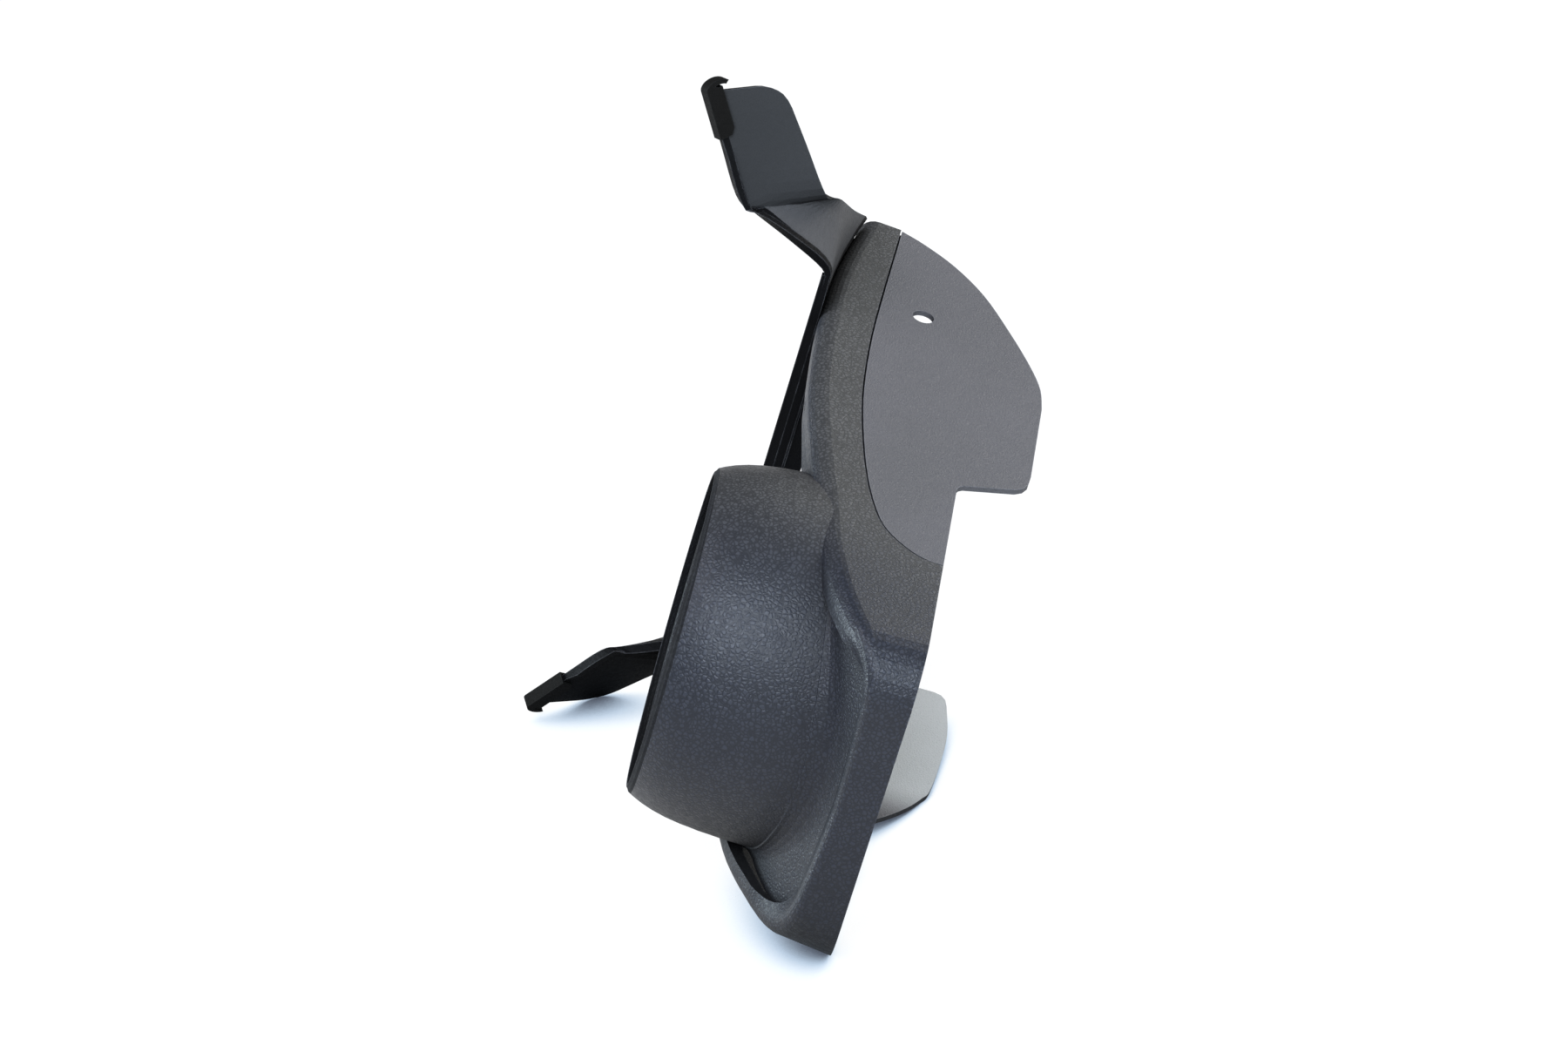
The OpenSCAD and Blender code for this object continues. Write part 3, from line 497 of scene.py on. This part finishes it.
def moulding(name, tone_a, tone_b, edge, roughness, cells, depth, crease=0.3, edge_share=0.5,
             clouds=9.0, speckle=0.06, specular=0.5, broken=0.5, reach=0.0008, creases=0.0,
             patches=(), calm=(), dull=()):
    """A dyed plastic with a pressed grain, paler edges that are partly wear and partly painted
    highlight, and painted shade in crevices. patches are (masks, tone_a, tone_b), laid over the
    ground colour where all their masks are 1; calm masks flatten the grain, and dull masks also
    take the gloss away. creases is how much darker the grain's creases are painted, as painted shade."""
    paint = bpy.data.materials.new(name)
    paint.use_nodes = True
    tree = paint.node_tree
    shader = tree.nodes["Principled BSDF"]
    shader.inputs["Specular IOR Level"].default_value = specular
    colour = tones(tree, tone_a, tone_b, clouds, speckle)
    for masks, patch_a, patch_b in patches:
        whole = None
        for group, direction, start, end in masks:
            mask = masked(tree, group, direction, start, end)
            whole = mask if whole is None else sums(tree, "MULTIPLY", whole, mask)
        colour = over(tree, whole, colour, tones(tree, patch_a, patch_b, clouds, speckle))
    # Worn edges, partly painted edge highlights, laid over in the edge colour
    worn_and_highlit_edge = add(tree, "ShaderNodeGroup", {"node_tree": edge_wear_and_highlight})
    worn_and_highlit_edge.inputs["Broken"].default_value = broken
    worn_and_highlit_edge.inputs["Reach"].default_value = reach
    colour = over(tree, sums(tree, "MULTIPLY", worn_and_highlit_edge.outputs[0], edge_share), colour, edge)
    grain = add(tree, "ShaderNodeGroup", {"node_tree": leather_grain})
    grain.inputs["Cells per metre"].default_value = cells
    grain.inputs["Crease"].default_value = crease
    sunk = add(tree, "ShaderNodeVectorMath", {"operation": "SCALE"})
    tree.links.new(colour, sunk.inputs[0])
    # Painted shade: an Ambient Occlusion node darkens the colour in crevices and corners
    painted_crevice = add(tree, "ShaderNodeGroup", {"node_tree": crevice_painted_shade})
    painted_crevice.inputs["Reach"].default_value = 0.09
    painted_crevice.inputs["Darkest"].default_value = 0.15
    # Painted shade: the grain's creases are painted darker
    crease_shade_gain = step(tree, grain.outputs["Height"], 0.0, 0.8, 1.0 - creases, 1.0)
    tree.links.new(sums(tree, "MULTIPLY", crease_shade_gain, painted_crevice.outputs["Gain"]), sunk.inputs["Scale"])
    tree.links.new(sunk.outputs[0], shader.inputs["Base Color"])
    rough = step(tree, grain.outputs["Pebble tone"], 0.0, 1.0, roughness - 0.05, roughness + 0.05)
    closed = sums(tree, "MULTIPLY", sums(tree, "SUBTRACT", 1.0, painted_crevice.outputs["Gain"]), 0.4)
    rough = sums(tree, "ADD", rough, closed, clamp=True)
    for share, *place in dull:
        mask = sums(tree, "MULTIPLY", masked(tree, *place), share)
        rough = sums(tree, "ADD", rough, mask, clamp=True)
    tree.links.new(rough, shader.inputs["Roughness"])
    height = grain.outputs["Height"]
    for share, *place in (*calm, *dull):
        mask = masked(tree, *place)
        height = sums(tree, "MULTIPLY", height, sums(tree, "SUBTRACT", 1.0, sums(tree, "MULTIPLY", mask, share)))
    bump = add(tree, "ShaderNodeBump", Strength=1.0, Distance=depth)
    tree.links.new(height, bump.inputs["Height"])
    tree.links.new(bump.outputs[0], shader.inputs["Normal"])
    return paint

# %% The finishes
# Painted light on the flat cheeks: a lighter tone than the rest of the shell, which fades back to the darker
# shell tone towards the nose as painted shade
CHEEK_PAINTED_LIGHT = (0.065, 0.064, 0.065), (0.079, 0.078, 0.078)
CHEEK_SHADE_FADE = (-0.062, 0.015)
# Painted shade: the inner faces of both cheeks, where they face each other inside the shell, are painted black
INSIDE_PAINTED_SHADE = (0.010, 0.010, 0.012), (0.014, 0.014, 0.016)
# Near-black tones for the rim's rounding, and painted shade on the collar bore's inner wall
RING_BLACK_AND_BORE_SHADE = (0.006, 0.006, 0.008), (0.009, 0.009, 0.011)
# The rim's rounding is black like the liner; its edge runs a little deeper on the side below
RIM_AXIS = (OUT - 0.011 * ALONG).normalized()
# The shell's pale edge line, kept nearly unbroken along the lip, is partly wear and partly a painted highlight
shell_paint = moulding(
    "shell_plastic", (0.025, 0.028, 0.039), (0.033, 0.036, 0.047), (0.20, 0.21, 0.24), 0.44, 540.0, 0.00014,
    crease=0.34, specular=0.36, edge_share=0.35, broken=0.15, creases=0.5, dull=((0.5, along_place, RIM_AXIS, -0.0021, -0.0018),),
    # Painted light on the flat cheeks, fading to painted shade towards the nose
    patches=(([(facing_side, ACROSS, 0.3, 0.8), (along_place, ALONG, *CHEEK_SHADE_FADE)], *CHEEK_PAINTED_LIGHT),
             ([(facing_side, -ACROSS, 0.3, 0.8), (along_place, ALONG, *CHEEK_SHADE_FADE)], *CHEEK_PAINTED_LIGHT),
             # Painted shade: the cheeks' inner faces are painted black
             ([(facing_side, ACROSS, 0.8, 0.95), (along_place, -ACROSS, 0.05, 0.06)], *INSIDE_PAINTED_SHADE),
             ([(facing_side, -ACROSS, 0.8, 0.95), (along_place, ACROSS, 0.05, 0.06)], *INSIDE_PAINTED_SHADE),
             # Painted shade: the collar bore's inner wall is painted black
             ([(inside_ring, OUT, 0.0670, 0.0675)], *RING_BLACK_AND_BORE_SHADE),
             ([(along_place, RIM_AXIS, -0.0021, -0.0018)], *RING_BLACK_AND_BORE_SHADE)),
    calm=((0.7, facing_side, ACROSS, 0.8, 0.97), (0.7, facing_side, -ACROSS, 0.8, 0.97)))

PALE_A, PALE_B = (0.48, 0.49, 0.48), (0.53, 0.535, 0.525)
panel_paints = {}
for name, inward in (("side_panel_right", -ACROSS), ("side_panel_left", ACROSS)):
    panel_paints[name] = moulding(
        "panel_plastic" if name.endswith("right") else "panel_plastic_left",
        (0.095, 0.092, 0.096), (0.107, 0.103, 0.109), (0.24, 0.24, 0.26), 0.6, 800.0, 0.00015, crease=0.4,
        specular=0.35,
        # The pale inner faces stop short of the nose; there they keep the grey, as painted shade in the recess
        patches=(([(facing_side, inward, 0.6, 0.8), (along_place, ALONG, 0.02, 0.05)], PALE_A, PALE_B),))

to_row = own_axes.to_3x3()
arm_face = (to_row @ Vector((0.3665, -0.77, -0.522))).normalized()
# Directions away from the near edge of the right arm, at its tip and at its root, and how far
# along them the grey painted light begins: the bead on that edge stays black
tip_inward = (to_row @ Vector((0.368, 0.571, -0.734))).normalized()
root_inward = (to_row @ Vector((0.274, 0.957, -0.101))).normalized()
TIP_LIGHT_START, ROOT_LIGHT_START = 0.1208, 0.1819
FOLD_AT = 0.1195
# Painted light: only the right arm's outer face is painted grey, darker past the fold than at the root; the
# mirrored left arm stays black
TIP_PAINTED_LIGHT = (0.037, 0.037, 0.038), (0.044, 0.044, 0.045)
ROOT_PAINTED_LIGHT = (0.082, 0.079, 0.080), (0.095, 0.092, 0.093)
yoke_paint = moulding(
    "yoke_plastic", (0.003, 0.003, 0.0035), (0.0045, 0.0045, 0.005), (0.16, 0.16, 0.17), 0.5, 1200.0, 0.00006,
    crease=0.4, specular=0.06,
    patches=(([(facing_side, arm_face, 0.35, 0.6), (along_place, ACROSS, FOLD_AT, FOLD_AT + 0.0002),
               (along_place, tip_inward, TIP_LIGHT_START, TIP_LIGHT_START + 0.0004)], *TIP_PAINTED_LIGHT),
             ([(facing_side, arm_face, 0.35, 0.6), (along_place, ACROSS, 0.0862, 0.0867),
               (along_place, -ACROSS, -FOLD_AT, 0.0002 - FOLD_AT),
               (along_place, root_inward, ROOT_LIGHT_START, ROOT_LIGHT_START + 0.0004)], *ROOT_PAINTED_LIGHT)))
liner_paint = moulding("liner_plastic", (0.007, 0.007, 0.009), (0.010, 0.010, 0.012), (0.10, 0.10, 0.11),
                       0.42, 900.0, 0.00008, specular=0.2)
sleeve_paint = moulding("sleeve_rubber", (0.005, 0.0045, 0.004), (0.007, 0.0065, 0.0055), (0.03, 0.03, 0.03),
                        0.75, 1300.0, 0.00008, specular=0.1)

steel_paint = bpy.data.materials.new("screw_steel")
steel_paint.use_nodes = True
tree = steel_paint.node_tree
shader = tree.nodes["Principled BSDF"]
shader.inputs["Metallic"].default_value = 1.0
tree.links.new(tones(tree, (0.42, 0.42, 0.44), (0.52, 0.52, 0.54), 300.0, 0.06), shader.inputs["Base Color"])
scuff = add(tree, "ShaderNodeTexNoise", Scale=2500.0, Detail=3.0)
tree.links.new(step(tree, scuff.outputs[0], 0.3, 0.7, 0.25, 0.45), shader.inputs["Roughness"])

finishes = {
    "console_shell": shell_paint, **panel_paints, "mounting_yoke": yoke_paint, "pod_liner": liner_paint,
    "hook_sleeve_left": sleeve_paint, "hook_sleeve_right": sleeve_paint, "yoke_screws": steel_paint,
    "liner_screws": steel_paint, "panel_screws": steel_paint}
for name, paint in finishes.items():
    piece = frame["nodes"][name]
    for slot_no in range(len(piece.material_slots)):
        piece.material_slots[slot_no].material = paint
    print(name, len(piece.data.vertices), "vertices,", paint.name)
